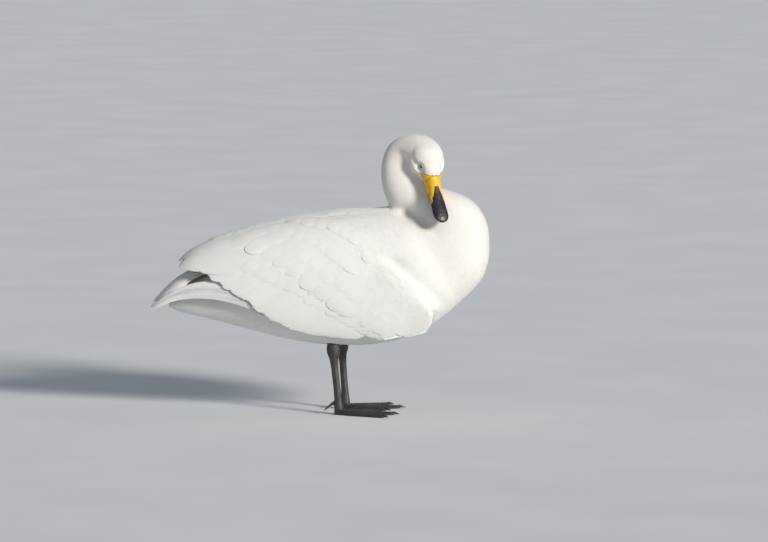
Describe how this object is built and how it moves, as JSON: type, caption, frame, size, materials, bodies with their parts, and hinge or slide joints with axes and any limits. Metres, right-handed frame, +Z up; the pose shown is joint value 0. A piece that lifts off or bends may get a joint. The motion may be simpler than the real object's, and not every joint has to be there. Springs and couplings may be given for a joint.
{
  "type": "whooper swan",
  "caption": "Life-size still model of a whooper swan standing with its wings folded, its neck drawn back in a tight curve and its head turned down to its right.",
  "frame": {"origin": "on the floor under the middle of the bird, the centre of the bottom of its box", "axes": "+X the way the breast points, along the body; +Y the bird's left; +Z up from the floor"},
  "size_m": [0.7514, 0.249, 0.6139],
  "materials": {
    "plumage": "matt white feathers, slightly cream on the head and neck",
    "bill": "smooth horn, yellow from the base to past the nostrils and black ahead of that",
    "eye": "wet and glossy, very dark brown",
    "leg": "black scaly skin, satin",
    "claw": "black horn"
  },
  "bodies": {
    "root": {"bill_lower": "bill", "bill_upper": "bill", "claw_hind_left": "claw", "claw_hind_right": "claw", "claw_inner_left": "claw", "claw_inner_right": "claw", "claw_middle_left": "claw", "claw_middle_right": "claw", "claw_outer_left": "claw", "claw_outer_right": "claw", "eye_left": "eye", "eye_right": "eye", "foot_left": "leg", "foot_right": "leg", "head": "plumage", "hind_toe_left": "leg", "hind_toe_right": "leg", "nape": "plumage", "neck_1": "plumage", "neck_2": "plumage", "neck_3": "plumage", "neck_4": "plumage", "primaries_left": "plumage", "primaries_right": "plumage", "rump": "plumage", "secondaries_left": "plumage", "secondaries_right": "plumage", "shank_left": "leg", "shank_right": "leg", "tail": "plumage", "thigh_left": "plumage", "thigh_right": "plumage", "trunk": "plumage", "wing_left": "plumage", "wing_right": "plumage"}
  },
  "joints": []
}
